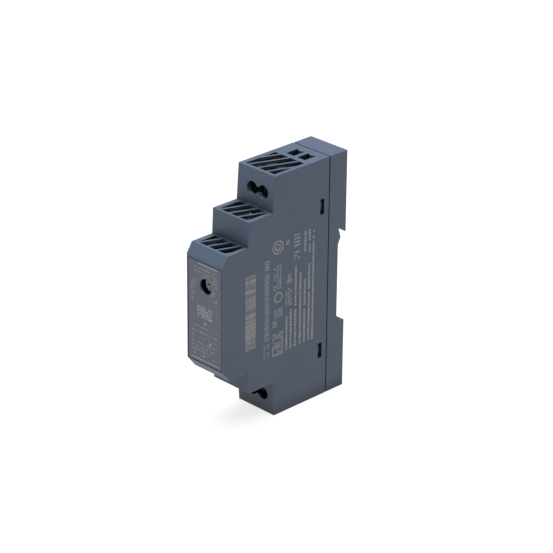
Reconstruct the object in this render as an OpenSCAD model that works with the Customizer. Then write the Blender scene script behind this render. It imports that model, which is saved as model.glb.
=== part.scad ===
// Narrow DIN rail power supply: stepped vented housing, rear base with rail hook and latch,
// screw terminals with rising clamps top and bottom, and the circuit board inside.
// Millimetres. X is the width, +Y points at the rail, +Z is up.
// The origin is the middle of the flat back face that looks at the rail.

/* [Housing] */
// Width across the sides, one rail module
body_w = 17.5; // [17.3:0.1:17.9]
// Height from the bottom face to the top face
body_h = 90; // [89.5:0.1:90.5]
// Depth from the flat back face to the front of the nose
body_d = 54.8; // [54.5:0.1:55.2]
// Thickness of the housing's walls
wall_t = 1.6; // [1.4:0.1:1.7]
// Width of the dark seam between the housing and the rear base
seam_gap = 0.45; // [0.2:0.05:0.5]

/* [Vents] */
// Angle of the slats from the depth direction, in degrees
slat_angle = 21.5; // [15:0.5:28]
// Distance from one slat to the next, measured across the width
slat_pitch = 4.35; // [4.0:0.05:4.6]
// Thickness of one slat
slat_t = 0.9; // [0.8:0.1:1.4]
// How deep the slats reach below the surface
slat_deep = 1.0; // [0.8:0.1:2.0]

/* [Rail] */
// Height of the rail's flanges, edge to edge
rail_h = 35; // [34.8:0.1:35.2]
// Thickness of the rail's flanges
rail_t = 1.0; // [1.0:0.1:1.3]
// How far the hook and the lower shoulder reach behind the back face
hook_reach = 3.7; // [3.6:0.1:4.0]
// How far the latch slides down to let go of the rail
latch_travel = 3.5; // [2.5:0.1:3.6]

/* [Terminals] */
// Distance between the two screws of one terminal block
screw_pitch = 5.3; // [5.2:0.1:5.4]
// Radius of the holes that a screwdriver goes through
driver_r = 2.45; // [2.3:0.05:2.6]
// Outer radius of the terminal screws' thread
screw_r = 1.25; // [1.2:0.05:1.3]
// How far a clamp cage rises when its screw is tightened
clamp_travel = 1.8; // [1.2:0.1:1.8]

/* [Hidden] */
$fn = 64;

// Outline of the stepped side, as depths y and heights z
half_w = body_w / 2;
half_h = body_h / 2;
front_y = -body_d;
seam_y = -4.8;
top_step_y = -30.9;
top_foot_y = -31.8;
mid_step_z = 31.9;
mid_step_y = -42.8;
mid_foot_y = -43.2;
nose_top_z = 22.6;
nose_top_y = -52.5;
nose_edge_z = 18.9;
nose_low_edge_z = -20.0;
nose_low_y = -51.4;
nose_low_z = -24.3;
low_step_y = -42.8;
low_step_foot_y = -42.4;
low_step_z = -32.1;
end_step_y = -31.2;
end_foot_y = -30.3;
front_wall_t = 2.4;
inner_half_w = half_w - wall_t;
inner_half_h = half_h - wall_t;

// Vent zones: front and back edges, and the x of one slat at the zone's middle
vent_left_x = -6.7;
vent_right_x = 7.15;
top_vent_y = [-29.6, -15.6];
mid_vent_y = [-41.9, -32.2];
nose_vent_y = [-51.5, -43.6];
top_slat_x = 1.8;
mid_slat_x = 0.2;
nose_slat_x = -0.5;
end_vent_y = [-29.0, -15.6];
low_vent_y = [-41.4, -31.7];
chin_vent_y = [-50.4, -43.3];

// Front panel, its pocket, the trimmer's hole and the light
panel_t = 0.7;
panel_gap = 0.25;
panel_half_w = 8.05;
panel_top_z = 17.6;
panel_low_z = -19.6;
trimmer_x = 0.45;
trimmer_z = 9.4;
trimmer_hole_r = 2.8;
trimmer_well_r = 4.4;
led_x = 6.2;
led_z = 1.35;
led_r = 0.75;

// Snap windows in the sides
window_y = -8.15;
window_z = 27.4;
window_w = 1.9;
window_h = 5.7;

// Wire entries in the top and bottom faces
entry_y = [-13.5, -8.2];
entry_half_w = 1.8;
entry_tooth = 0.8;

// Rail hook, seat crest and lower shoulder
hook_tip_z = 14.55;
notch_y = 1.05;
notch_z = 16.9;
apex_y = 0.2;
apex_z = 16.7;
crest_y = 1.25;
crest_z = 13.3;
seat_z = 10.6;
rail_top_z = 15.8;
shoulder_z = rail_top_z - rail_h;
pad_h = 3.6;

// Latch and the channel it slides in
channel_half_w = 4.3;
channel_y = 0.2;
groove_half_w = 5.7;
groove_y = [0.6, 2.4];
latch_gap = 0.3;
latch_nose_z = shoulder_z + latch_travel - 1.0;
latch_nose_y = crest_y + rail_t + 0.2;

// Terminal screws and clamps: centre, then places along the screw from front to back
screw_mid_x = 0.9;
screw_z = 37.9;
head_r = 2.0;
head_y = -21.3;
head_t = 1.6;
lip_y = -19.5;
lip_t = 0.6;
thread_end_y = -12.3;
cage_y = lip_y + lip_t + clamp_travel + 0.4;
cage_top_t = 1.4;
cage_low_y = -7.9;
cage_low_t = 0.6;
cage_half_w = 2.1;
cage_wall_t = 0.5;
cage_half_h = 2.5;
contact_y = -12.1;
contact_t = 0.8;
contact_half_w = 1.35;
contact_top_z = 41.4;
foot_h = 0.8;
foot_z = [33.0, 31.6];
block_x = [-5.25, 6.6];
block_y = [-21.9, -6.8];
block_z = [31.0, 42.9];
cell_half_w = 2.3;
cell_y = [lip_y + lip_t, -7.5];
cell_low_z = 34.6;
fit_gap = 0.05;

// Circuit board and the things soldered to it
board_t = 1.6;
board_x = -6.9;
board_face_x = board_x + board_t;

// A flat outline of [y, z] points, drawn out across the width and centred on x
module across(width, x = 0) {
    translate([x, 0, 0]) rotate([90, 0, 90]) linear_extrude(width, center = true) children();
}

// A box between two corners
module box(low, high) {
    translate(low) cube(high - low);
}

// A round bar along Y from y0 to y1
module bar_y(r, y0, y1) {
    translate([0, y1, 0]) rotate([90, 0, 0]) cylinder(r = r, h = y1 - y0);
}

// A round bar along X that starts at x0
module bar_x(r, x0, x1) {
    translate([x0, 0, 0]) rotate([0, 90, 0]) cylinder(r = r, h = x1 - x0);
}

// Outline of the front housing, drawn t inside the outer faces and f inside the front
function housing_outline(t, f) = [
    [seam_y - seam_gap / 2, half_h - t],
    [top_step_y + t, half_h - t],
    [top_foot_y + t, mid_step_z - t],
    [mid_step_y + t, mid_step_z - t],
    [mid_foot_y + t, nose_top_z - t],
    [nose_top_y + 0.8 * f, nose_top_z - t],
    [front_y + f, nose_edge_z - t / 2],
    [front_y + f, nose_low_edge_z + t / 2],
    [nose_low_y + 0.8 * f, nose_low_z + t],
    [low_step_y + t, nose_low_z + t],
    [low_step_foot_y + t, low_step_z + t],
    [end_step_y + t, low_step_z + t],
    [end_foot_y + t, -half_h + t],
    [seam_y - seam_gap / 2, -half_h + t]
];

// The slots of one vent zone in the face at height z, seen as a cutter
module vent_cut(span, z) {
    box([vent_left_x, span[0], z - wall_t - 1], [vent_right_x, span[1], z + 1]);
}

// The slats of one vent zone, merged into its rim
module vent_slats(span, z, slat_x) {
    rim = 0.3;
    slat_len = 40;
    middle_y = (span[0] + span[1]) / 2;
    intersection() {
        box([vent_left_x - rim, span[0] - rim, z - slat_deep],
            [vent_right_x + rim, span[1] + rim, z]);
        for (k = [-3:3])
            translate([slat_x + k * slat_pitch, middle_y, z - slat_deep / 2])
                rotate([0, 0, -slat_angle])
                    cube([slat_t, slat_len, slat_deep], center = true);
    }
}

// Two driver holes joined by a slot, in the step face of one end
module driver_holes() {
    slot_half_h = 1.2;
    for (side = [-1, 1])
        translate([screw_mid_x + side * screw_pitch / 2, 0, screw_z])
            bar_y(driver_r, top_foot_y - 1, top_step_y + wall_t + 1);
    box([screw_mid_x - screw_pitch / 2, top_foot_y - 1, screw_z - slot_half_h],
        [screw_mid_x + screw_pitch / 2, top_step_y + wall_t + 1, screw_z + slot_half_h]);
}

// One wire entry with a pointed tooth in its back edge
module wire_entry(x) {
    box([x - entry_half_w, entry_y[0], half_h - 3], [x + entry_half_w, entry_y[1], half_h + 1]);
}

module wire_entry_tooth(x) {
    translate([x, entry_y[1], half_h - wall_t])
        linear_extrude(wall_t)
            polygon([[-entry_half_w, 0.2], [-entry_half_w, 0], [0, -entry_tooth],
                     [entry_half_w, 0], [entry_half_w, 0.2]]);
}

// What is cut out of, and put back into, the housing at its top end and again at its bottom end
module end_cuts() {
    driver_holes();
    for (side = [-1, 1])
        wire_entry(screw_mid_x + side * screw_pitch / 2);
}

module end_teeth() {
    for (side = [-1, 1])
        wire_entry_tooth(screw_mid_x + side * screw_pitch / 2);
}

module front_housing() {
    color("#525c6b") {
        difference() {
            across(body_w) polygon(housing_outline(0, 0));
            across(2 * inner_half_w) polygon(housing_outline(wall_t, front_wall_t));
            box([-inner_half_w, seam_y - 1, -inner_half_h], [inner_half_w, seam_y + 1, inner_half_h]);
            vent_cut(top_vent_y, half_h);
            vent_cut(mid_vent_y, mid_step_z);
            vent_cut(nose_vent_y, nose_top_z);
            end_cuts();
            mirror([0, 0, 1]) {
                vent_cut(end_vent_y, half_h);
                vent_cut(low_vent_y, -low_step_z);
                vent_cut(chin_vent_y, -nose_low_z);
                end_cuts();
            }
            for (z = [-window_z, window_z])
                translate([0, window_y, z])
                    cube([body_w + 2, window_w, window_h], center = true);
            box([-panel_half_w - panel_gap, front_y - 1, panel_low_z - panel_gap],
                [panel_half_w + panel_gap, front_y + panel_t, panel_top_z + panel_gap]);
            translate([trimmer_x, 0, trimmer_z])
                bar_y(trimmer_well_r, front_y, front_y + front_wall_t + 1);
            translate([led_x, 0, led_z])
                bar_y(led_r + fit_gap, front_y, front_y + front_wall_t + 1);
        }
        vent_slats(top_vent_y, half_h, top_slat_x);
        vent_slats(mid_vent_y, mid_step_z, mid_slat_x);
        vent_slats(nose_vent_y, nose_top_z, nose_slat_x);
        end_teeth();
        mirror([0, 0, 1]) {
            vent_slats(end_vent_y, half_h, top_slat_x);
            vent_slats(low_vent_y, -low_step_z, mid_slat_x);
            vent_slats(chin_vent_y, -nose_low_z, nose_slat_x);
            end_teeth();
        }
    }
}

// Label plate that fills the pocket in the nose
module front_panel() {
    color("#565f70")
        difference() {
            box([-panel_half_w, front_y, panel_low_z],
                [panel_half_w, front_y + panel_t, panel_top_z]);
            translate([trimmer_x, 0, trimmer_z])
                bar_y(trimmer_hole_r, front_y - 1, front_y + panel_t + 1);
            translate([led_x, 0, led_z])
                bar_y(led_r + fit_gap, front_y - 1, front_y + panel_t + 1);
        }
}

// Short light guide from the front face to the indicator behind the wall
module led_lens() {
    collar_t = 0.5;
    wall_back_y = front_y + front_wall_t;
    color("#9db4c8")
        translate([led_x, 0, led_z]) {
            bar_y(led_r, front_y, wall_back_y);
            bar_y(led_r + 0.2, wall_back_y, wall_back_y + collar_t);
        }
}

// Outline of the rear base with its hook, seat crest and shoulder
base_outline = [
    [seam_y + seam_gap / 2, half_h],
    [hook_reach, half_h],
    [hook_reach, hook_tip_z],
    [notch_y, notch_z],
    [apex_y, apex_z],
    [crest_y, crest_z],
    [0, seat_z],
    [0, shoulder_z],
    [hook_reach, shoulder_z],
    [hook_reach, -half_h],
    [seam_y + seam_gap / 2, -half_h]
];

// Frame that locates the base inside the housing
module base_rim() {
    rim_t = 1.0;
    rim_half_w = inner_half_w - fit_gap;
    rim_half_h = inner_half_h - fit_gap;
    difference() {
        union() {
            box([-rim_half_w, seam_y - 1.8, -rim_half_h], [rim_half_w, seam_y + 1, rim_half_h]);
            box([-inner_half_w - 0.2, seam_y + seam_gap / 2, -inner_half_h - 0.2],
                [inner_half_w + 0.2, seam_y + 1.5, inner_half_h + 0.2]);
        }
        box([-rim_half_w + rim_t, seam_y - 2.8, -rim_half_h + rim_t],
            [rim_half_w - rim_t, seam_y + 2, rim_half_h - rim_t]);
        box([board_x - 1, seam_y - 2.8, -half_h], [board_face_x + 0.2, seam_y - 0.9, half_h]);
    }
}

// Springy tab with a lug that snaps into one side window
module snap_tab() {
    lug_half_h = 1.6;
    tab_half_h = 3.2;
    tab_t = 0.8;
    tab_x = inner_half_w - fit_gap;
    box([tab_x - tab_t, window_y - 1.6, -tab_half_h], [tab_x, seam_y + 0.6, tab_half_h]);
    translate([tab_x, window_y, 0])
        linear_extrude(2 * lug_half_h, center = true)
            polygon([[-0.2, -0.45], [0.1, -0.45], [0.65, 0.75], [-0.2, 0.75]]);
}

module rear_base() {
    core_t = 1.8;
    pad_x = 6.2;
    pad_half_w = 0.9;
    color("#4e5867") {
        difference() {
            across(body_w) polygon(base_outline);
            box([-inner_half_w, seam_y - 1, -inner_half_h], [inner_half_w, -wall_t, inner_half_h]);
            box([-inner_half_w, -wall_t - 1, apex_z + core_t],
                [inner_half_w, hook_reach - core_t, inner_half_h]);
            box([-channel_half_w, channel_y, -half_h - 1],
                [channel_half_w, hook_reach + 1, shoulder_z + 1]);
            box([-groove_half_w, groove_y[0], -half_h - 1],
                [groove_half_w, groove_y[1], shoulder_z + 1]);
        }
        base_rim();
        for (side = [0, 1], z = [-window_z, window_z])
            mirror([side, 0, 0])
                translate([0, 0, z]) snap_tab();
        for (x = [-pad_x, pad_x])
            box([x - pad_half_w, -0.2, shoulder_z - 0.1],
                [x + pad_half_w, crest_y, shoulder_z + pad_h]);
    }
}

// Sliding latch: plate with side flanges, a nose behind the rail's lower edge and a driver slot
module rail_latch() {
    low_z = -half_h + 0.6;
    top_z = shoulder_z - 0.4;
    plate_y = [channel_y + latch_gap, hook_reach - latch_gap];
    nose_y = [latch_nose_y, plate_y[1]];
    slot_z = [low_z + 1.2, low_z + 3.0];
    slot_half_w = 2.6;
    arm_x = 3.1;
    arm_half_w = 0.35;
    color("#434b58")
        difference() {
            union() {
                box([-channel_half_w + latch_gap, plate_y[0], low_z],
                    [channel_half_w - latch_gap, plate_y[1], top_z]);
                box([-groove_half_w + latch_gap, groove_y[0] + latch_gap, low_z + 1],
                    [groove_half_w - latch_gap, groove_y[1] - latch_gap, top_z - 0.6]);
                across(2 * (channel_half_w - latch_gap))
                    polygon([[nose_y[0], top_z - 0.1], [nose_y[1], top_z - 0.1],
                             [nose_y[1], latch_nose_z - 1.9], [nose_y[0] + 0.2, latch_nose_z],
                             [nose_y[0], latch_nose_z]]);
            }
            box([-slot_half_w, -1, slot_z[0]], [slot_half_w, hook_reach + 1, slot_z[1]]);
            for (side = [-1, 1])
                translate([side * arm_x, 0, 0])
                    box([-arm_half_w, -1, slot_z[1] + 2.4],
                        [arm_half_w, hook_reach + 1, top_z - 3.5]);
        }
}

// Board outline: follows the steps of the housing with a margin
module circuit_board() {
    m = wall_t + 0.7;
    board_back_y = seam_y - 1.2;
    board_front_y = front_y + 4.9;
    notch_half_h = 3.6;
    color("#2f5d3a")
        difference() {
            across(board_t, board_x + board_t / 2)
                polygon([[board_back_y, half_h - m], [top_step_y + m, half_h - m],
                         [top_step_y + m, mid_step_z - m], [mid_step_y + m, mid_step_z - m],
                         [mid_step_y + m, nose_top_z - m], [board_front_y, nose_top_z - m],
                         [board_front_y, nose_low_z + m], [low_step_foot_y + m, nose_low_z + m],
                         [low_step_foot_y + m, low_step_z + m], [end_foot_y + m, low_step_z + m],
                         [end_foot_y + m, -half_h + m], [board_back_y, -half_h + m]]);
            for (z = [-window_z, window_z])
                box([board_x - 1, window_y - 2, z - notch_half_h],
                    [board_face_x + 1, 0, z + notch_half_h]);
        }
}

// Voltage trimmer: fixed body on the board and the rotor that a driver turns
rotor_r = 2.5;
rotor_y = [-52.4, -50.6];
trimmer_back_y = -46.0;
trimmer_half_w = 4.8;
shaft_r = 1.0;

module trimmer_body() {
    color("#3b6ea5")
        difference() {
            box([board_face_x, rotor_y[1] + 0.2, trimmer_z - trimmer_half_w],
                [trimmer_x + trimmer_half_w, trimmer_back_y, trimmer_z + trimmer_half_w]);
            translate([trimmer_x, 0, trimmer_z])
                bar_y(shaft_r + fit_gap, rotor_y[1] - 1, trimmer_back_y + 1);
        }
}

module trimmer_rotor() {
    cross = [3.4, 1.4, 0.8];
    color("#b9b3a4")
        difference() {
            translate([trimmer_x, 0, trimmer_z]) {
                bar_y(rotor_r, rotor_y[0], rotor_y[1]);
                bar_y(shaft_r, rotor_y[1] - 0.1, trimmer_back_y - 0.4);
            }
            for (turn = [0, 90])
                translate([trimmer_x, rotor_y[0], trimmer_z])
                    rotate([0, turn, 0])
                        cube(cross, center = true);
        }
}

// Indicator light with its two legs bent down to the board
module indicator_led() {
    back_y = front_y + front_wall_t + 3.0;
    led_half_w = 0.9;
    led_t = 2.3;
    leg_z = 0.55;
    leg_half_w = 0.2;
    color("#c9d8de") {
        box([led_x - led_half_w, back_y - led_t, led_z - led_half_w],
            [led_x + led_half_w, back_y, led_z + led_half_w]);
        for (z = [led_z - leg_z, led_z + leg_z])
            box([board_face_x, back_y - 0.3, z - leg_half_w], [led_x, back_y, z + leg_half_w]);
    }
}

// Terminal parts are drawn for the top end, at screw number side = -1 (left) or 1 (right)
function screw_x(side) = screw_mid_x + side * screw_pitch / 2;

// Contact strip that the wire is pressed on, with its foot soldered to the board
module contact(side, grow = 0) {
    low_z = side < 0 ? foot_z[0] : foot_z[1];
    x = screw_x(side);
    g = [grow, grow, grow];
    box([x - contact_half_w, contact_y, low_z] - g,
        [x + contact_half_w, contact_y + contact_t, contact_top_z] + g);
    box([board_face_x, contact_y, low_z] - g,
        [x, contact_y + contact_t, low_z + foot_h] + g);
}

module terminal_block() {
    fin_half_w = 0.35;
    difference() {
        union() {
            box([block_x[0], block_y[0], block_z[0]], [block_x[1], block_y[1], block_z[1]]);
            box([screw_mid_x - fin_half_w, top_step_y + wall_t + 1.5, block_z[0]],
                [screw_mid_x + fin_half_w, block_y[0] + 0.1, block_z[1] - 2.4]);
        }
        for (side = [-1, 1]) {
            translate([screw_x(side), 0, screw_z]) {
                bar_y(head_r + 0.3, block_y[0] - 1, lip_y);
                bar_y(screw_r + 0.25, block_y[0], cell_y[0] + 1);
            }
            box([screw_x(side) - cell_half_w, cell_y[0], cell_low_z],
                [screw_x(side) + cell_half_w, cell_y[1], block_z[1] + 1]);
            contact(side, fit_gap);
        }
    }
}

// Captive screw: head with a cross recess, plain thread
module terminal_screw(side) {
    cross_len = 2.6;
    cross_w = 0.6;
    translate([screw_x(side), 0, screw_z])
        difference() {
            union() {
                bar_y(head_r, head_y, head_y + head_t);
                bar_y(screw_r, head_y + head_t - 0.1, thread_end_y);
            }
            for (turn = [0, 90])
                translate([0, head_y, 0])
                    rotate([0, turn, 0])
                        cube([turn == 0 ? 2 * head_r + 1 : cross_len, 1.8, cross_w], center = true);
        }
}

// Clamp cage: a ring round the contact and the wire, threaded on the screw
module clamp_cage(side) {
    inner = cage_half_w - cage_wall_t;
    translate([screw_x(side), 0, screw_z])
        difference() {
            box([-cage_half_w, cage_y, -cage_half_h], [cage_half_w, cage_low_y, cage_half_h]);
            box([-inner, cage_y + cage_top_t, -cage_half_h - 1],
                [inner, cage_low_y - cage_low_t, cage_half_h + 1]);
            bar_y(screw_r + fit_gap, cage_y - 1, cage_y + cage_top_t + 1);
        }
}

module output_terminal_block() { color("#2b2e33") terminal_block(); }
module input_terminal_block() { color("#2b2e33") mirror([0, 0, 1]) terminal_block(); }
module output_screw_left() { color("silver") terminal_screw(-1); }
module output_screw_right() { color("silver") terminal_screw(1); }
module input_screw_left() { color("silver") mirror([0, 0, 1]) terminal_screw(-1); }
module input_screw_right() { color("silver") mirror([0, 0, 1]) terminal_screw(1); }
module output_cage_left() { color("gainsboro") clamp_cage(-1); }
module output_cage_right() { color("gainsboro") clamp_cage(1); }
module input_cage_left() { color("gainsboro") mirror([0, 0, 1]) clamp_cage(-1); }
module input_cage_right() { color("gainsboro") mirror([0, 0, 1]) clamp_cage(1); }
module output_contact_left() { color("#c8a45a") contact(-1); }
module output_contact_right() { color("#c8a45a") contact(1); }
module input_contact_left() { color("#c8a45a") mirror([0, 0, 1]) contact(-1); }
module input_contact_right() { color("#c8a45a") mirror([0, 0, 1]) contact(1); }

// Transformer, centred on the board's rear half
transformer_y = -20;
transformer_z = -2;
leg_half_y = 2.2;
leg_x = [-1.6, 3.6];

module transformer_core() {
    color("#3a3a3d")
        translate([0, transformer_y, transformer_z]) {
            difference() {
                box([leg_x[0], -6.6, -8.2], [leg_x[1], 6.6, 8.2]);
                box([leg_x[0] - 1, -5.0, -6.0], [leg_x[1] + 1, 5.0, 6.0]);
            }
            box([leg_x[0], -leg_half_y, -6.1], [leg_x[1], leg_half_y, 6.1]);
        }
}

module transformer_bobbin() {
    color("#26272b")
        translate([0, transformer_y, transformer_z])
            difference() {
                union() {
                    for (z = [-5.7, 4.7])
                        box([board_face_x, -4.8, z], [6.4, 4.8, z + 1]);
                    box([board_face_x, -4.8, -8], [-4.3, 4.8, 8]);
                    box([leg_x[0] - 0.7, -leg_half_y - 0.7, -5],
                        [leg_x[1] + 0.7, leg_half_y + 0.7, 5]);
                }
                box([leg_x[0] - fit_gap, -leg_half_y - fit_gap, -9],
                    [leg_x[1] + fit_gap, leg_half_y + fit_gap, 9]);
            }
}

module transformer_winding() {
    side = 0.75;
    color("#d9b23c")
        translate([0, transformer_y, transformer_z])
            difference() {
                translate([1.0, 0, 0])
                    linear_extrude(9.2, center = true)
                        union() {
                            square([9.6, 6.4], center = true);
                            square([6.4, 9.2], center = true);
                            for (x = [-3.2, 3.2], y = [-3.2, 3.2])
                                translate([x, y]) circle(r = 1.4);
                        }
                box([leg_x[0] - side, -leg_half_y - side, -9],
                    [leg_x[1] + side, leg_half_y + side, 9]);
            }
}

// Round capacitor lying along Z on the board: sleeve with a groove near its sealed end
module round_capacitor(r, y, z0, z1) {
    translate([board_face_x + r + 0.1, y, 0])
        difference() {
            translate([0, 0, z0]) cylinder(r = r, h = z1 - z0);
            translate([0, 0, z0 + 1.6])
                rotate_extrude() translate([r + 0.2, 0]) circle(r = 0.55);
            translate([0, 0, z1 - 0.3]) cylinder(r = r - 0.8, h = 1);
        }
}

module input_capacitor_front() { color("#23252c") round_capacitor(5, -45.4, -20.6, -1.6); }
module input_capacitor_rear() { color("#23252c") round_capacitor(5, -34.6, -12.4, 6.6); }
module output_capacitor_front() { color("#2a3a55") round_capacitor(4, -36.6, 17.4, 29.4); }
module output_capacitor_rear() { color("#2a3a55") round_capacitor(4, -24.6, 17.4, 29.9); }

// Common-mode choke and output inductor: wound drums standing on the board
choke_place = [0, -20.6, -24];

module choke_core() {
    color("#47484a")
        translate(choke_place) {
            bar_x(5.4, board_face_x, -4.4);
            bar_x(2.0, -4.5, 5.3);
            bar_x(5.4, 5.2, 6.1);
        }
}

module choke_winding() {
    color("#b0672e")
        translate(choke_place)
            difference() {
                bar_x(4.9, -4.3, 5.1);
                bar_x(2.0 + fit_gap, -5, 6);
            }
}

module output_inductor() {
    color("#5a4436")
        translate([0, -12.6, 24]) {
            bar_x(4.0, board_face_x, -4.4);
            bar_x(3.4, -4.5, 2.9);
            bar_x(4.0, 2.8, 3.7);
        }
}

module film_capacitor() {
    color("#d6b640")
        box([board_face_x, -13.4, -29.4], [6.0, -7.6, -16.4]);
}

// Flat round part on two legs, standing across the depth
module leaded_disc(r, t, y, z) {
    lift = 1.6;
    translate([board_face_x + lift + r, 0, z]) bar_y(r, y - t / 2, y + t / 2);
    for (leg_z = [z - 1.8, z + 1.8])
        box([board_face_x, y - 0.3, leg_z - 0.3],
            [board_face_x + lift + 1.2, y + 0.3, leg_z + 0.3]);
}

module safety_capacitor() { color("#2d6fb3") leaded_disc(3.6, 3, -11.5, 12.5); }
module varistor() { color("#3a7f4f") leaded_disc(3.9, 3.2, -29.2, -25.6); }

module fuse() {
    color("#1f1f22")
        translate([0, -36.2, -25.7])
            union() {
                bar_x(4.1, board_face_x + 0.4, 2.2);
                bar_x(3.6, board_face_x, board_face_x + 0.5);
            }
}

// Chip package with a row of feet on each long side
module chip(size, y, z, feet) {
    pitch = size[2] / feet;
    foot_y = size[1] / 2 + 0.35;
    foot_size = [0.5, 0.8, 0.5];
    color("#222326")
        box([board_face_x + 0.2, y - size[1] / 2, z - size[2] / 2],
            [board_face_x + size[0], y + size[1] / 2, z + size[2] / 2]);
    color("silver")
        for (side = [-1, 1], k = [0:feet - 1])
            translate([board_face_x + foot_size[0] / 2, y + side * foot_y,
                       z + (k - (feet - 1) / 2) * pitch])
                cube(foot_size, center = true);
}

module bridge_rectifier() { chip([2.4, 5, 6], -33, -17.4, 2); }
module controller_chip() { chip([1.8, 3.6, 5], -43.4, 5.2, 4); }
module optocoupler() { chip([3.4, 6, 4.6], -23.6, 11.8, 2); }
module output_diode() { chip([2.4, 5, 6], -36, 12.2, 2); }

// Small resistors: y and z of each one on the board
resistor_places = [
    [-30, 20], [-30, 23], [-30, 26],
    [-41, 14], [-41, 17],
    [-14.5, -10.6], [-11, -10.6],
    [-10, 2], [-10, 5]
];

module chip_resistors() {
    color("#1c1c1e")
        for (place = resistor_places)
            translate([board_face_x + 0.3, place[0], place[1]])
                cube([0.6, 1.25, 2], center = true);
}

front_housing();
rear_base();
front_panel();
led_lens();
rail_latch();
circuit_board();
trimmer_body();
trimmer_rotor();
indicator_led();
output_terminal_block();
input_terminal_block();
output_screw_left();
output_screw_right();
input_screw_left();
input_screw_right();
output_cage_left();
output_cage_right();
input_cage_left();
input_cage_right();
output_contact_left();
output_contact_right();
input_contact_left();
input_contact_right();
transformer_core();
transformer_bobbin();
transformer_winding();
input_capacitor_front();
input_capacitor_rear();
output_capacitor_front();
output_capacitor_rear();
choke_core();
choke_winding();
output_inductor();
film_capacitor();
safety_capacitor();
varistor();
fuse();
bridge_rectifier();
controller_chip();
optocoupler();
output_diode();
chip_resistors();
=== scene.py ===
import math

import bmesh
import bpy
from mathutils import Matrix, Vector


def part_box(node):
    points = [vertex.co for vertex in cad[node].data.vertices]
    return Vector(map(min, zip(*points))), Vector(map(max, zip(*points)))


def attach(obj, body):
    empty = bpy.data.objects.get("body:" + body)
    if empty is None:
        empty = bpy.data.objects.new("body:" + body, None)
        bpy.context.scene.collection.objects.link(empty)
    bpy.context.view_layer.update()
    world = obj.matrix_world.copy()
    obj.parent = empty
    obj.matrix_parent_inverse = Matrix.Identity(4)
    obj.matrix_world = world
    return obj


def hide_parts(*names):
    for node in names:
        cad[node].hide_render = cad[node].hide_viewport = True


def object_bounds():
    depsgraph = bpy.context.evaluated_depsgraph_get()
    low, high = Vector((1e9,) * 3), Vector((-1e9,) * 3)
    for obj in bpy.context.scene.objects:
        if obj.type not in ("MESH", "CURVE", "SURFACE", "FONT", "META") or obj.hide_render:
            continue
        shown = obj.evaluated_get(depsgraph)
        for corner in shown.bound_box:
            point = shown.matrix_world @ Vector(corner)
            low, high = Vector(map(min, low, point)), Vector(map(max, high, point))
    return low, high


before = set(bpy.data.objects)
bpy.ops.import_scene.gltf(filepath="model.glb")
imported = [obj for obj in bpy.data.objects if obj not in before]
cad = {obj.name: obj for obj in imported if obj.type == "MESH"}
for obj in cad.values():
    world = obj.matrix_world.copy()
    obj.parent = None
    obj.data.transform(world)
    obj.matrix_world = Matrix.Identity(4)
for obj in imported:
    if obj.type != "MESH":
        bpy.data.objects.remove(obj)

cad_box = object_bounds()
MM = 0.001

# ---------------------------------------------------------------- table top, light and camera
# The supply stands on its end face on a white acrylic table that is lit from below, so it throws
# hardly any shadow, under one wide soft box that hangs overhead and a little to the front.
low, high = cad_box
middle = (low + high) / 2
view_azimuth = math.radians(45.27)
view_elevation = math.radians(25.07)
view_roll = math.radians(0.58)
view_distance = 831.2 * MM
lens_mm = 157.4
aim = middle + Vector((0.26, 4.19, 2.51)) * MM

camera_data = bpy.data.cameras.new("camera")
camera_data.lens = lens_mm
camera_data.sensor_width = 36
camera_data.clip_start = 0.05
camera = bpy.data.objects.new("camera", camera_data)
turn = (
    Matrix.Rotation(view_azimuth, 4, "Z")
    @ Matrix.Rotation(math.pi / 2 - view_elevation, 4, "X")
    @ Matrix.Rotation(view_roll, 4, "Z")
)
camera.matrix_world = Matrix.Translation(aim) @ turn @ Matrix.Translation((0, 0, view_distance))
bpy.context.collection.objects.link(camera)
bpy.context.scene.camera = camera


def linear(hex_colour):
    """An sRGB hex colour as linear red, green, blue and alpha."""
    parts = [int(hex_colour[i : i + 2], 16) / 255 for i in (1, 3, 5)]
    return [c / 12.92 if c <= 0.04045 else ((c + 0.055) / 1.055) ** 2.4 for c in parts] + [1]


def add(tree, kind, values=None, links=None, **settings):
    """Adds one node to a tree, with its settings, its input values and what is linked to it."""
    node = tree.nodes.new(kind)
    for name, value in settings.items():
        setattr(node, name, value)
    for socket, value in (values or {}).items():
        node.inputs[socket].default_value = value
    for socket, source in (links or {}).items():
        tree.links.new(source, node.inputs[socket])
    return node


def new_material(name):
    """An empty node material with its output, ready for a shader."""
    material = bpy.data.materials.new(name)
    material.use_nodes = True
    tree = material.node_tree
    tree.nodes.clear()
    return material, tree, add(tree, "ShaderNodeOutputMaterial")


def lay_sheet(name, corner_a, corner_b, height, material):
    """A flat sheet of the stage under the supply."""
    (x0, y0), (x1, y1) = corner_a, corner_b
    mesh = bpy.data.meshes.new(name)
    corners = [(x0, y0, height), (x1, y0, height), (x1, y1, height), (x0, y1, height)]
    mesh.from_pydata(corners, [], [(0, 1, 2, 3)])
    mesh.materials.append(material)
    sheet = bpy.data.objects.new(name, mesh)
    bpy.context.collection.objects.link(sheet)


material, tree, output = new_material("backlit_white_acrylic")
shader = add(
    tree,
    "ShaderNodeBsdfPrincipled",
    {
        "Base Color": linear("#6c6c6c"),
        "Roughness": 0.7,
        "Emission Color": linear("#ffffff"),
        "Emission Strength": 0.78,
    },
)
tree.links.new(shader.outputs[0], output.inputs["Surface"])
table_reach = 6.0
table_depth, shade_sheet_depth = 0.08 * MM, 0.04 * MM
lay_sheet(
    "table_top",
    (-table_reach, -table_reach),
    (table_reach, table_reach),
    low.z - table_depth,
    material,
)
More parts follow.
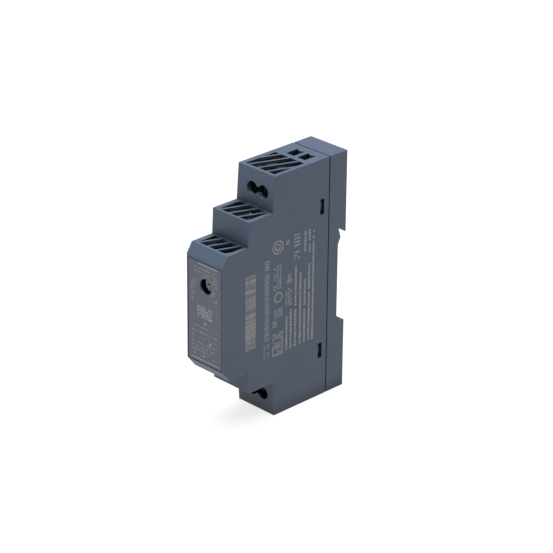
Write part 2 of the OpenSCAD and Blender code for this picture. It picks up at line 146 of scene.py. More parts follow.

# Painted shade: a thin black sheet, smaller than the end face it carries, stands in for the shade
# under the supply and keeps the table's light out of the wire entries above it.
material, tree, output = new_material("painted_shade_sheet")
shade_sheet_grain = add(tree, "ShaderNodeTexNoise", {"Scale": 1 / (0.8 * MM)})
shade_sheet_tint = add(tree, "ShaderNodeValToRGB", links={"Fac": shade_sheet_grain.outputs["Fac"]})
shade_sheet_tint.color_ramp.elements[0].color = linear("#0b0b0c")
shade_sheet_tint.color_ramp.elements[1].color = linear("#161617")
shader = add(
    tree,
    "ShaderNodeBsdfPrincipled",
    {"Roughness": 0.9},
    {"Base Color": shade_sheet_tint.outputs["Color"]},
)
tree.links.new(shader.outputs[0], output.inputs["Surface"])
shade_sheet_edge = 0.6 * MM
wall_thickness = 2.5 * MM
end_face_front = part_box("input_terminal_block")[0].y - wall_thickness
lay_sheet(
    "shade_sheet_under_supply",
    (low.x + shade_sheet_edge, end_face_front),
    (high.x - shade_sheet_edge, -shade_sheet_edge),
    low.z - shade_sheet_depth,
    material,
)

lamp_data = bpy.data.lights.new("soft_box", "AREA")
lamp_data.shape = "SQUARE"
lamp_data.size = 1.6
lamp_data.energy = 62
lamp = bpy.data.objects.new("soft_box", lamp_data)
lamp.location = middle + Vector((-0.02, -0.12, 1.35))
lamp.rotation_euler = (Vector(lamp.location) - middle).to_track_quat("Z", "Y").to_euler()
bpy.context.collection.objects.link(lamp)

world = bpy.data.worlds.new("studio")
world.use_nodes = True
world.node_tree.nodes["Background"].inputs["Color"].default_value = linear("#ffffff")
world.node_tree.nodes["Background"].inputs["Strength"].default_value = 0.18
bpy.context.scene.world = world
bpy.context.scene.view_settings.view_transform = "Standard"

# ---------------------------------------------------------------- circuit board
# Glass-epoxy laminate, 1.6 mm thick, etched, screened with dark green solder mask and wave soldered;
# the mask is drawn darker than it is, as painted shade.
# It stands in the housing against the left wall, and every electric part is soldered to it.


def finish_cad(node, material, edge_mm=0.0):
    """Gives a CAD node its material and, if asked, the small rounded edges of the real piece."""
    piece = cad[node]
    piece.data.materials.clear()
    piece.data.materials.append(material)
    if edge_mm:
        weld = piece.modifiers.new("join_faces", "WELD")
        weld.merge_threshold = 0.002 * MM
        flat = piece.modifiers.new("flat_faces", "DECIMATE")
        flat.decimate_type = "DISSOLVE"
        flat.angle_limit = math.radians(1)
        edge = piece.modifiers.new("round_edges", "BEVEL")
        edge.width = edge_mm * MM
        edge.segments = 2
        edge.limit_method = "ANGLE"
        edge.angle_limit = math.radians(35)
        edge.use_clamp_overlap = True
        edge.harden_normals = True


def node_group(name, inputs):
    """An empty geometry tree whose inputs are named for what they set."""
    group = bpy.data.node_groups.new(name, "GeometryNodeTree")
    group.interface.new_socket("Geometry", in_out="OUTPUT", socket_type="NodeSocketGeometry")
    group.interface.new_socket("Geometry", in_out="INPUT", socket_type="NodeSocketGeometry")
    for label, kind in inputs.items():
        group.interface.new_socket(label, in_out="INPUT", socket_type="NodeSocket" + kind)
    return group, add(group, "NodeGroupInput").outputs, add(group, "NodeGroupOutput")


def grow(group, points, values):
    """Runs a geometry tree on bare points and returns the result as a plain mesh."""
    start_mesh = bpy.data.meshes.new("start")
    start_mesh.from_pydata(points, [], [])
    start = bpy.data.objects.new("start", start_mesh)
    bpy.context.collection.objects.link(start)
    modifier = start.modifiers.new("tree", "NODES")
    modifier.node_group = group
    for item in group.interface.items_tree:
        if item.in_out == "INPUT" and item.name in values:
            modifier[item.identifier] = values[item.name]
    depsgraph = bpy.context.evaluated_depsgraph_get()
    mesh = bpy.data.meshes.new_from_object(start.evaluated_get(depsgraph), depsgraph=depsgraph)
    start.modifiers.clear()
    bpy.data.objects.remove(start)
    return mesh


def add_piece(name, mesh, body, smooth_deg=0):
    """A new piece from a finished mesh, riding on a body."""
    if smooth_deg:
        mesh.shade_smooth()
        mesh.set_sharp_from_angle(angle=math.radians(smooth_deg))
    piece = bpy.data.objects.new(name, mesh)
    bpy.context.collection.objects.link(piece)
    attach(piece, body)
    return piece


# The tracks show through the mask as slightly lighter, raised lines, drawn 1.6 mm apart; the
# glass cloth gives a faint weave, drawn at 0.6 mm instead of the real 0.2 mm.
material, tree, output = new_material("solder_masked_laminate_with_painted_shade")
place = add(tree, "ShaderNodeTexCoord").outputs["Object"]
tracks = add(
    tree,
    "ShaderNodeTexVoronoi",
    {"Scale": 1 / (3.2 * MM)},
    {"Vector": place},
    distance="MANHATTAN",
    feature="F1",
)
edges = add(
    tree,
    "ShaderNodeMath",
    {1: 0.5, 2: 0.08},
    {0: tracks.outputs["Distance"]},
    operation="COMPARE",
)
weave = add(
    tree, "ShaderNodeTexNoise", {"Scale": 1 / (0.6 * MM), "Detail": 1.0}, {"Vector": place}
)
# Painted shade: the mask and its tracks are drawn near black, darker than such mask is, so the board
# stays dark behind the vents.
mask_and_shade_tint = add(tree, "ShaderNodeValToRGB", links={"Fac": weave.outputs["Fac"]})
mask_and_shade_tint.color_ramp.elements[0].color = linear("#0a1710")
mask_and_shade_tint.color_ramp.elements[1].color = linear("#0d1c14")
track_tint = add(
    tree,
    "ShaderNodeMix",
    {"B": linear("#142a1d")},
    {"Factor": edges.outputs[0], "A": mask_and_shade_tint.outputs["Color"]},
    data_type="RGBA",
)
relief = add(
    tree,
    "ShaderNodeBump",
    {"Strength": 0.4, "Distance": 0.04 * MM},
    {"Height": edges.outputs[0]},
)
shader = add(
    tree,
    "ShaderNodeBsdfPrincipled",
    {"Roughness": 0.34},
    {"Base Color": track_tint.outputs[2], "Normal": relief.outputs["Normal"]},
)
tree.links.new(shader.outputs[0], output.inputs["Surface"])
finish_cad("circuit_board", material, 0.08)


def plated(name, bright, dull, roughness, streak_mm, bump=0.3):
    """A metal surface: fine streaks of roughness along the depth, and a slightly dull patina."""
    material, tree, output = new_material(name)
    place = add(tree, "ShaderNodeTexCoord").outputs["Object"]
    long = add(tree, "ShaderNodeMapping", {"Scale": (1, 0.12, 1)}, {"Vector": place})
    streak = add(
        tree,
        "ShaderNodeTexNoise",
        {"Scale": 1 / (streak_mm * MM), "Detail": 3.0},
        {"Vector": long.outputs[0]},
    )
    patina = add(
        tree, "ShaderNodeTexNoise", {"Scale": 1 / (2.5 * MM), "Detail": 2.0}, {"Vector": place}
    )
    tint = add(tree, "ShaderNodeValToRGB", links={"Fac": patina.outputs["Fac"]})
    tint.color_ramp.elements[0].position = 0.35
    tint.color_ramp.elements[1].position = 0.65
    tint.color_ramp.elements[0].color = linear(dull)
    tint.color_ramp.elements[1].color = linear(bright)
    gloss = add(
        tree,
        "ShaderNodeMapRange",
        {"To Min": roughness - 0.08, "To Max": roughness + 0.12},
        {"Value": streak.outputs["Fac"]},
    )
    dents = add(
        tree,
        "ShaderNodeBump",
        {"Strength": bump, "Distance": 0.01 * MM},
        {"Height": streak.outputs["Fac"]},
    )
    shader = add(
        tree,
        "ShaderNodeBsdfPrincipled",
        {"Metallic": 1.0},
        {
            "Base Color": tint.outputs["Color"],
            "Roughness": gloss.outputs["Result"],
            "Normal": dents.outputs["Normal"],
        },
    )
    tree.links.new(shader.outputs[0], output.inputs["Surface"])
    return material


# Solder joints: tin alloy domes on the board's back, one for each lead.
group, given, result = node_group(
    "solder_joints", {"Joint Radius": "Float", "Joint Height": "Float", "Solder": "Material"}
)
dome = add(group, "GeometryNodeMeshIcoSphere", {"Radius": 1.0, "Subdivisions": 3})
dome_size = add(
    group,
    "ShaderNodeCombineXYZ",
    links={"X": given["Joint Height"], "Y": given["Joint Radius"], "Z": given["Joint Radius"]},
)
dome = add(
    group,
    "GeometryNodeTransform",
    links={"Geometry": dome.outputs["Mesh"], "Scale": dome_size.outputs[0]},
)
domes = add(
    group,
    "GeometryNodeInstanceOnPoints",
    links={"Points": given["Geometry"], "Instance": dome.outputs[0]},
)
domes = add(group, "GeometryNodeRealizeInstances", links={"Geometry": domes.outputs[0]})
domes = add(
    group,
    "GeometryNodeSetMaterial",
    links={"Geometry": domes.outputs[0], "Material": given["Solder"]},
)
group.links.new(domes.outputs[0], result.inputs[0])
board_low, board_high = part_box("circuit_board")
lead_places = []
for part, across, along in (
    ("transformer_core", 5.0, 6.8),
    ("input_capacitor_front", 0.0, 2.5),
    ("input_capacitor_rear", 0.0, 2.5),
    ("output_capacitor_front", 0.0, 1.7),
    ("output_capacitor_rear", 0.0, 1.7),
    ("choke_core", 3.4, 3.4),
    ("output_inductor", 2.5, 2.5),
    ("film_capacitor", 0.0, 5.0),
    ("safety_capacitor", 0.0, 1.8),
    ("varistor", 0.0, 1.8),
    ("fuse", 0.0, 2.5),
    ("trimmer_body", 1.5, 2.5),
):
    part_low, part_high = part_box(part)
    centre = (part_low + part_high) / 2
    for side in (-1, 1):
        for end in (-1, 1) if across else (0,):
            lead_places.append(
                (board_low.x, centre.y + end * across * MM, centre.z + side * along * MM)
            )
solder = plated("wave_soldered_tin", "#c9cac8", "#a9aaa8", 0.28, 0.4, 0.1)
mesh = grow(
    group, lead_places, {"Joint Radius": 0.9 * MM, "Joint Height": 0.2 * MM, "Solder": solder}
)
add_piece("solder_joints", mesh, "supply", 60)

# ---------------------------------------------------------------- wound parts
# The transformer's sintered ferrite core is clipped round a phenolic bobbin and taped; the choke is
# enamelled wire on a ferrite drum; the output inductor is a drum under black shrink sleeve.


def moulded(name, colour, roughness=0.5, grain_mm=0.45, bump=0.25, mottle=0.06, mottle_mm=14):
    """Moulded plastic, ferrite or resin: a fine surface grain, and a faint mottle from the flow."""
    material, tree, output = new_material(name)
    place = add(tree, "ShaderNodeTexCoord").outputs["Object"]
    cloud = add(
        tree,
        "ShaderNodeTexNoise",
        {"Scale": 1 / (mottle_mm * MM), "Detail": 3.0},
        {"Vector": place},
    )
    grain = add(
        tree,
        "ShaderNodeTexNoise",
        {"Scale": 1 / (grain_mm * MM), "Detail": 2.0, "Roughness": 0.6},
        {"Vector": place},
    )
    mixed = add(
        tree,
        "ShaderNodeMath",
        {1: 0.35},
        {0: grain.outputs["Fac"], 2: cloud.outputs["Fac"]},
        operation="MULTIPLY_ADD",
    )
    tint = add(tree, "ShaderNodeValToRGB", links={"Fac": mixed.outputs[0]})
    shade = linear(colour)[:3]
    tint.color_ramp.elements[0].position = 0.45
    tint.color_ramp.elements[1].position = 0.9
    tint.color_ramp.elements[0].color = [c * (1 - mottle) for c in shade] + [1]
    tint.color_ramp.elements[1].color = [c * (1 + mottle) for c in shade] + [1]
    gloss = add(
        tree,
        "ShaderNodeMapRange",
        {"From Min": 0.3, "From Max": 0.7, "To Min": roughness - 0.05, "To Max": roughness + 0.07},
        {"Value": grain.outputs["Fac"]},
    )
    dents = add(
        tree,
        "ShaderNodeBump",
        {"Strength": bump, "Distance": 0.05 * MM},
        {"Height": grain.outputs["Fac"]},
    )
    shader = add(
        tree,
        "ShaderNodeBsdfPrincipled",
        {"IOR": 1.5},
        {
            "Base Color": tint.outputs["Color"],
            "Roughness": gloss.outputs["Result"],
            "Normal": dents.outputs["Normal"],
        },
    )
    tree.links.new(shader.outputs[0], output.inputs["Surface"])
    return material


ferrite = moulded("sintered_ferrite", "#3d3e42", 0.55, 0.25, 0.35, 0.15, 2.0)
finish_cad("transformer_core", ferrite, 0.15)
finish_cad("choke_core", ferrite, 0.12)
finish_cad("transformer_bobbin", moulded("phenolic_bobbin", "#1e1f22", 0.42, 0.3, 0.15), 0.1)

# Polyester tape, glossy, in layers: the edges of the wraps show as thin darker lines 1.5 mm apart.
material, tree, output = new_material("polyester_tape")
place = add(tree, "ShaderNodeTexCoord").outputs["Object"]
wraps = add(
    tree,
    "ShaderNodeTexWave",
    {"Scale": 1 / (2 * math.pi * 1.5 * MM) * math.pi / 10, "Distortion": 0.6},
    {"Vector": place},
    bands_direction="Z",
)
wrap_tint = add(tree, "ShaderNodeValToRGB", links={"Fac": wraps.outputs["Fac"]})
wrap_tint.color_ramp.elements[0].position = 0.04
wrap_tint.color_ramp.elements[1].position = 0.3
wrap_tint.color_ramp.elements[0].color = linear("#a87f1d")
wrap_tint.color_ramp.elements[1].color = linear("#dbb03a")
step = add(
    tree,
    "ShaderNodeBump",
    {"Strength": 0.5, "Distance": 0.05 * MM},
    {"Height": wraps.outputs["Fac"]},
)
shader = add(
    tree,
    "ShaderNodeBsdfPrincipled",
    {"Roughness": 0.24},
    {"Base Color": wrap_tint.outputs["Color"], "Normal": step.outputs["Normal"]},
)
tree.links.new(shader.outputs[0], output.inputs["Surface"])
finish_cad("transformer_winding", material, 0.2)

# Choke winding: 0.78 mm enamelled copper wire, wound turn against turn in two layers.
group, given, result = node_group(
    "wire_turns",
    {
        "Turns": "Int",
        "Pitch": "Float",
        "Turn Radius": "Float",
        "Wire Radius": "Float",
        "Wire": "Material",
    },
)
step_along = add(group, "ShaderNodeCombineXYZ", links={"X": given["Pitch"]})
turn_places = add(
    group,
    "GeometryNodeMeshLine",
    links={"Count": given["Turns"], "Offset": step_along.outputs[0]},
    mode="OFFSET",
)
turn_path = add(
    group,
    "GeometryNodeCurvePrimitiveCircle",
    {"Resolution": 40},
    {"Radius": given["Turn Radius"]},
)
wire_section = add(
    group,
    "GeometryNodeCurvePrimitiveCircle",
    {"Resolution": 10},
    {"Radius": given["Wire Radius"]},
)
one_turn = add(
    group,
    "GeometryNodeCurveToMesh",
    links={"Curve": turn_path.outputs[0], "Profile Curve": wire_section.outputs[0]},
)
turns = add(
    group,
    "GeometryNodeInstanceOnPoints",
    {"Rotation": (0, math.pi / 2, 0)},
    {"Points": turn_places.outputs[0], "Instance": one_turn.outputs[0]},
)
turns = add(group, "GeometryNodeRealizeInstances", links={"Geometry": turns.outputs[0]})
turns = add(
    group,
    "GeometryNodeSetMaterial",
    links={"Geometry": turns.outputs[0], "Material": given["Wire"]},
)
group.links.new(turns.outputs[0], result.inputs[0])
wire_radius = 0.39 * MM
winding_low, winding_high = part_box("choke_winding")
winding_centre = (winding_low + winding_high) / 2
outer_turn = (winding_high.z - winding_low.z) / 2 - wire_radius
copper = plated("enamelled_copper", "#b5682f", "#8f4a1f", 0.26, 0.3, 0.1)
both_layers = bmesh.new()
for count, radius, shift in ((12, outer_turn, 0.5), (11, outer_turn - 1.75 * wire_radius, 1.0)):
    layer = grow(
        group,
        [],
        {
            "Turns": count,
            "Pitch": 2 * wire_radius,
            "Turn Radius": radius,
            "Wire Radius": wire_radius,
            "Wire": copper,
        },
    )
    layer.transform(
        Matrix.Translation(
            (winding_low.x + 2 * shift * wire_radius, winding_centre.y, winding_centre.z)
        )
    )
    both_layers.from_mesh(layer)
bmesh.ops.recalc_face_normals(both_layers, faces=both_layers.faces)
mesh = bpy.data.meshes.new("choke_turns")
both_layers.to_mesh(mesh)
mesh.materials.append(copper)
choke_turns = add_piece("choke_turns", mesh, "supply", 60)
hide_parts("choke_winding")

sleeve = moulded("black_shrink_sleeve", "#27211e", 0.33, 1.1, 0.35)
finish_cad("output_inductor", sleeve, 0.35)

# ---------------------------------------------------------------- electrolytic capacitors
# Aluminium cans in printed heat-shrunk sleeves, lying along the board. A pale stripe marks the
# negative side, and the bare can with its safety score shows at the end. The bare ends, and the
# output capacitors' sleeves, are drawn darker than they are, as painted shade.


def sleeved_can(name, node, colour, stripe_colour):
    """A glossy sleeve with a stripe along one side, and bare aluminium inside its end ring, drawn
    darker as painted shade.
    """
    can_low, can_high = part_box(node)
    centre = (can_low + can_high) / 2
    bare_radius = (can_high.x - can_low.x) / 2 - 0.78 * MM
    material, tree, output = new_material(name)
    place = add(tree, "ShaderNodeTexCoord").outputs["Object"]
    local = add(
        tree,
        "ShaderNodeVectorMath",
        {1: (centre.x, centre.y, can_high.z)},
        {0: place},
        operation="SUBTRACT",
    )
    axes = add(tree, "ShaderNodeSeparateXYZ", links={0: local.outputs[0]})
    flat = add(
        tree, "ShaderNodeVectorMath", {1: (1, 1, 0)}, {0: local.outputs[0]}, operation="MULTIPLY"
    )
    radius = add(tree, "ShaderNodeVectorMath", links={0: flat.outputs[0]}, operation="LENGTH")
    inside = add(
        tree,
        "ShaderNodeMath",
        {1: bare_radius},
        {0: radius.outputs["Value"]},
        operation="LESS_THAN",
    )
    near_end = add(
        tree, "ShaderNodeMath", {1: -0.5 * MM}, {0: axes.outputs["Z"]}, operation="GREATER_THAN"
    )
    bare = add(
        tree,
        "ShaderNodeMath",
        links={0: inside.outputs[0], 1: near_end.outputs[0]},
        operation="MULTIPLY",
    )
    stripe = add(
        tree,
        "ShaderNodeMath",
        {1: bare_radius * 0.98, 2: 0.55 * MM},
        {0: axes.outputs["Y"]},
        operation="COMPARE",
    )
    wrinkle = add(
        tree, "ShaderNodeTexNoise", {"Scale": 1 / (1.4 * MM), "Detail": 2.0}, {"Vector": place}
    )
    sleeve_tint = add(
        tree,
        "ShaderNodeMix",
        {"A": linear(colour), "B": linear(stripe_colour)},
        {"Factor": stripe.outputs[0]},
        data_type="RGBA",
    )
    # Painted shade: the bare end's aluminium colour is darker than the metal's own, so the can ends
    # stay dark in the vents.
    tint = add(
        tree,
        "ShaderNodeMix",
        {"B": linear("#7c7e80")},
        {"Factor": bare.outputs[0], "A": sleeve_tint.outputs[2]},
        data_type="RGBA",
    )
    gloss = add(
        tree,
        "ShaderNodeMapRange",
        {"To Min": 0.2, "To Max": 0.4},
        {"Value": wrinkle.outputs["Fac"]},
    )
    score = add(
        tree,
        "ShaderNodeMath",
        {1: 0.0, 2: 0.16 * MM},
        {0: axes.outputs["X"]},
        operation="COMPARE",
    )
    height = add(
        tree,
        "ShaderNodeMath",
        {1: -1.5},
        {0: score.outputs[0], 2: wrinkle.outputs["Fac"]},
        operation="MULTIPLY_ADD",
    )
    dents = add(
        tree,
        "ShaderNodeBump",
        {"Strength": 0.35, "Distance": 0.06 * MM},
        {"Height": height.outputs[0]},
    )
    shader = add(
        tree,
        "ShaderNodeBsdfPrincipled",
        links={
            "Base Color": tint.outputs[2],
            "Metallic": bare.outputs[0],
            "Roughness": gloss.outputs["Result"],
            "Normal": dents.outputs["Normal"],
        },
    )
    tree.links.new(shader.outputs[0], output.inputs["Surface"])
    return material


for node in ("input_capacitor_front", "input_capacitor_rear"):
    finish_cad(node, sleeved_can("pvc_sleeve_with_painted_shade_on_" + node, node, "#22242b", "#8d9298"), 0.25)
# The output capacitors' sleeves and stripes are drawn darker than such sleeves are: painted shade for
# the vents they are seen through.
for node in ("output_capacitor_front", "output_capacitor_rear"):
    finish_cad(node, sleeved_can("pvc_sleeve_with_painted_shade_on_" + node, node, "#1c2430", "#55585b"), 0.25)

# ---------------------------------------------------------------- other board parts
# Film capacitor in a moulded case, disc parts dipped in epoxy, a moulded time-lag fuse, and
# surface-mount packages with tinned feet, reflowed on before the leaded parts are fitted.


def with_tinned_legs(name, colour, roughness, grain_mm, bump, body_low, body_high):
    """Resin or plastic inside the box of the body, and tinned metal wherever the legs leave it."""
    material = moulded(name, colour, roughness, grain_mm, bump)
    tree = material.node_tree
    shader = next(n for n in tree.nodes if n.type == "BSDF_PRINCIPLED")
    output = next(n for n in tree.nodes if n.type == "OUTPUT_MATERIAL")
    centre = (body_low + body_high) / 2
    half = (body_high - body_low) / 2 + Vector((0.02, 0.02, 0.02)) * MM
    place = next(n for n in tree.nodes if n.type == "TEX_COORD").outputs["Object"]
    away = add(tree, "ShaderNodeVectorMath", {1: centre}, {0: place}, operation="SUBTRACT")
    away = add(tree, "ShaderNodeVectorMath", links={0: away.outputs[0]}, operation="ABSOLUTE")
    away = add(
        tree, "ShaderNodeVectorMath", {1: half}, {0: away.outputs[0]}, operation="SUBTRACT"
    )
    axes = add(tree, "ShaderNodeSeparateXYZ", links={0: away.outputs[0]})
    most = add(
        tree,
        "ShaderNodeMath",
        links={0: axes.outputs["X"], 1: axes.outputs["Y"]},
        operation="MAXIMUM",
    )
    most = add(
        tree, "ShaderNodeMath", links={0: most.outputs[0], 1: axes.outputs["Z"]}, operation="MAXIMUM"
    )
    leg = add(tree, "ShaderNodeMath", {1: 0.0}, {0: most.outputs[0]}, operation="GREATER_THAN")
    scuff = add(
        tree, "ShaderNodeTexNoise", {"Scale": 1 / (0.5 * MM), "Detail": 2.0}, {"Vector": place}
    )
    leg_gloss = add(
        tree, "ShaderNodeMapRange", {"To Min": 0.2, "To Max": 0.42}, {"Value": scuff.outputs["Fac"]}
    )
    tin = add(
        tree,
        "ShaderNodeBsdfPrincipled",
        {"Metallic": 1.0, "Base Color": linear("#bfc0be")},
        {"Roughness": leg_gloss.outputs["Result"]},
    )
    both = add(
        tree,
        "ShaderNodeMixShader",
        links={0: leg.outputs[0], 1: shader.outputs[0], 2: tin.outputs[0]},
    )
    tree.links.new(both.outputs[0], output.inputs["Surface"])
    return material


board_face = board_high.x
film = moulded("flame_retardant_polyester_case", "#cfae3c", 0.28, 0.8, 0.1)
finish_cad("film_capacitor", film, 0.3)
finish_cad("fuse", moulded("polyamide_fuse_case", "#191a1d", 0.3, 0.6, 0.12), 0.25)
for node, colour, kind in (
    ("safety_capacitor", "#2b66a6", "blue_dipped_epoxy"),
    ("varistor", "#36734a", "green_dipped_epoxy"),
):
    part_low, part_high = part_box(node)
    body_low = Vector((board_face + 1.55 * MM, part_low.y, part_low.z))
    finish_cad(
        node, with_tinned_legs(kind, colour, 0.2, 1.6, 0.3, body_low, part_high), 0.35
    )
for node, half_depth in (
    ("bridge_rectifier", 2.5),
    ("controller_chip", 1.8),
    ("optocoupler", 3.0),
    ("output_diode", 2.5),
):
    part_low, part_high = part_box(node)
    centre_y = (part_low.y + part_high.y) / 2
    body_low = Vector((board_face + 0.15 * MM, centre_y - half_depth * MM, part_low.z))
    body_high = Vector((part_high.x, centre_y + half_depth * MM, part_high.z))
    finish_cad(
        node,
        with_tinned_legs(
            "moulded_epoxy_" + node, "#202124", 0.46, 0.2, 0.3, body_low, body_high
        ),
        0.07,
    )

# Chip resistors: white alumina with a black glass coat on top and tinned caps at both ends.
group, given, result = node_group(
    "chip_resistors",
    {
        "Chip Length": "Float",
        "Chip Width": "Float",
        "Chip Height": "Float",
        "Cap Length": "Float",
        "Ceramic": "Material",
        "Tin": "Material",
    },
)
body_size = add(
    group,
    "ShaderNodeCombineXYZ",
    links={"X": given["Chip Height"], "Y": given["Chip Width"], "Z": given["Chip Length"]},
)
body = add(group, "GeometryNodeMeshCube", links={"Size": body_size.outputs[0]})
cap_width = add(group, "ShaderNodeMath", {1: 1.03}, {0: given["Chip Width"]}, operation="MULTIPLY")
cap_height = add(
    group, "ShaderNodeMath", {1: 1.06}, {0: given["Chip Height"]}, operation="MULTIPLY"
)
cap_size = add(
    group,
    "ShaderNodeCombineXYZ",
    links={"X": cap_height.outputs[0], "Y": cap_width.outputs[0], "Z": given["Cap Length"]},
)
cap = add(group, "GeometryNodeMeshCube", links={"Size": cap_size.outputs[0]})
cap_place = add(group, "ShaderNodeMath", {1: 0.5}, {0: given["Chip Length"]}, operation="MULTIPLY")
cap_offset = add(group, "ShaderNodeCombineXYZ", links={"Z": cap_place.outputs[0]})
cap_back = add(
    group,
    "ShaderNodeVectorMath",
    {"Scale": -1.0},
    {0: cap_offset.outputs[0]},
    operation="SCALE",
)
caps = add(group, "GeometryNodeJoinGeometry")
for offset in (cap_offset, cap_back):
    moved = add(
        group,
        "GeometryNodeTransform",
        links={"Geometry": cap.outputs["Mesh"], "Translation": offset.outputs[0]},
    )
    group.links.new(moved.outputs[0], caps.inputs[0])
chips = add(group, "GeometryNodeJoinGeometry")
for shape, finish in ((caps.outputs[0], "Tin"), (body.outputs["Mesh"], "Ceramic")):
    placed = add(
        group,
        "GeometryNodeInstanceOnPoints",
        links={"Points": given["Geometry"], "Instance": shape},
    )
    placed = add(group, "GeometryNodeRealizeInstances", links={"Geometry": placed.outputs[0]})
    placed = add(
        group,
        "GeometryNodeSetMaterial",
        links={"Geometry": placed.outputs[0], "Material": given[finish]},
    )
    group.links.new(placed.outputs[0], chips.inputs[0])
group.links.new(chips.outputs[0], result.inputs[0])
resistor_places = (
    [(-30, z) for z in (20, 23, 26)]
    + [(-41, z) for z in (14, 17)]
    + [(y, -10.6) for y in (-14.5, -11)]
    + [(-10, z) for z in (2, 5)]
)
mesh = grow(
    group,
    [(board_face + 0.3 * MM, y * MM, z * MM) for y, z in resistor_places],
    {
        "Chip Length": 1.6 * MM,
        "Chip Width": 1.2 * MM,
        "Chip Height": 0.56 * MM,
        "Cap Length": 0.38 * MM,
        "Ceramic": moulded("glass_coated_alumina", "#17181b", 0.25, 0.3, 0.1),
        "Tin": solder,
    },
)
chip_pieces = add_piece("chip_resistor_set", mesh, "supply")
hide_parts("chip_resistors")
chip_edges = chip_pieces.modifiers.new("round_edges", "BEVEL")
chip_edges.width = 0.05 * MM
chip_edges.segments = 2

# ---------------------------------------------------------------- terminal blocks
# Glass-filled polyamide blocks, soldered at each end of the board. In every cell a zinc-plated
# screw lifts a nickel-plated steel cage, which presses the wire on a tinned brass strip.
polyamide = moulded("glass_filled_polyamide", "#1a1b1e", 0.55, 0.35, 0.3)
nickel = plated("nickel_plated_steel", "#c4c2bc", "#a5a29b", 0.32, 0.35)
brass = plated("tinned_brass", "#c9ab67", "#a98a4c", 0.3, 0.3)
# The zinc is drawn darker than such plating is: painted shade that keeps the screw recesses dark.
zinc = plated("zinc_plated_steel_with_painted_shade", "#6a6b6e", "#525356", 0.5, 0.25)
for end in ("output", "input"):
    finish_cad(end + "_terminal_block", polyamide, 0.15)
    for side in ("left", "right"):
        finish_cad(f"{end}_cage_{side}", nickel, 0.1)
        finish_cad(f"{end}_contact_{side}", brass, 0.1)

# Screws: rolled M2.5 thread under a cheese head with a combined cross and slot recess.
head_radius, head_height = 2.0, 1.6
thread_radius, root_radius, thread_pitch = 1.25, 1.03, 0.45
segments = 24
rows_per_turn = 6


def screw_rows(length):
    """Rings of the screw as (depth, radius at each segment), from the head's face to the tip."""
    rows = [(0.0, r) for r in (0.5, 1.2, 1.75)]
    rows += [(0.07, 1.93), (0.25, head_radius), (head_height - 0.1, head_radius)]
    rows += [(head_height, 1.9), (head_height, root_radius)]
    rings = [[(depth, r)] * segments for depth, r in rows]
    depth = head_height + 0.05
    while depth < length - 0.3:
        ring = []
        for k in range(segments):
            phase = (depth / thread_pitch - k / segments) % 1
            crest = 1 - abs(2 * phase - 1)
            ring.append((depth, root_radius + (thread_radius - root_radius) * crest))
        rings.append(ring)
        depth += thread_pitch / rows_per_turn
    rings += [[(length - 0.25, root_radius)] * segments, [(length, 0.8)] * segments]
    return rings


def screw_mesh(name, length, material):
    """One closed screw along +Y with its head's face at the origin, and its recess cut in."""
    shape = bmesh.new()
    loops = []
    for ring in screw_rows(length):
        loop = []
        for k, (depth, radius) in enumerate(ring):
            angle = 2 * math.pi * k / segments
            at = (radius * math.cos(angle), depth, radius * math.sin(angle))
            loop.append(shape.verts.new(Vector(at) * MM))
        loops.append(loop)
    for first, second in zip(loops, loops[1:]):
        for k in range(segments):
            n = (k + 1) % segments
            shape.faces.new((first[k], first[n], second[n], second[k]))
    shape.faces.new(loops[0])
    shape.faces.new(loops[-1])
    bmesh.ops.recalc_face_normals(shape, faces=shape.faces)
    mesh = bpy.data.meshes.new(name)
    shape.to_mesh(mesh)
    blank = bpy.data.objects.new("screw_blank", mesh)
    cutter_shape = bmesh.new()
    for wide, tall in ((0.6, 4.6), (2.6, 0.6)):
        bar = bmesh.ops.create_cube(cutter_shape, size=1)["verts"]
        bmesh.ops.scale(cutter_shape, vec=Vector((wide, 1.8, tall)) * MM, verts=bar)
    cutter_mesh = bpy.data.meshes.new("recess")
    cutter_shape.to_mesh(cutter_mesh)
    cutter = bpy.data.objects.new("recess", cutter_mesh)
    for thing in (blank, cutter):
        bpy.context.collection.objects.link(thing)
    cut = blank.modifiers.new("recess", "BOOLEAN")
    cut.object = cutter
    cut.operation = "DIFFERENCE"
    cut.solver = "EXACT"
    cut.use_self = True
    depsgraph = bpy.context.evaluated_depsgraph_get()
    result = bpy.data.meshes.new_from_object(blank.evaluated_get(depsgraph), depsgraph=depsgraph)
    for thing in (blank, cutter):
        bpy.data.objects.remove(thing)
    result.materials.clear()
    result.materials.append(material)
    return result


screw_low, screw_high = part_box("output_screw_left")
screw_template = screw_mesh("terminal_screw", (screw_high.y - screw_low.y) / MM, zinc)
for end in ("output", "input"):
    for side in ("left", "right"):
        node = f"{end}_screw_{side}"
        screw_low, screw_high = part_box(node)
        mesh = screw_template.copy()
        mesh.transform(
            Matrix.Translation(
                (
                    (screw_low.x + screw_high.x) / 2,
                    screw_low.y,
                    (screw_low.z + screw_high.z) / 2,
                )
            )
        )
        screw = add_piece(node + "_threaded", mesh, node, 40)
        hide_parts(node)

# ---------------------------------------------------------------- trimmer and indicator light
# A cermet trimmer with a moulded thermoplastic rotor, and a side-looking light emitter in clear
# resin. Both are soldered at the front edge of the board.
finish_cad("trimmer_body", moulded("thermoplastic_polyester_blue", "#2f5f98", 0.36, 0.5, 0.15), 0.2)
rotor = moulded("thermoplastic_polyester_ivory", "#bfbdb6", 0.5, 0.4, 0.3, 0.1, 3)
finish_cad("trimmer_rotor", rotor, 0.1)
led_low, led_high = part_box("indicator_led")
led_body_low = Vector((led_high.x - 1.8 * MM, led_low.y, led_low.z))
led_resin = with_tinned_legs(
    "clear_epoxy_resin", "#c3d3da", 0.12, 0.9, 0.05, led_body_low, led_high
)
finish_cad("indicator_led", led_resin, 0.12)

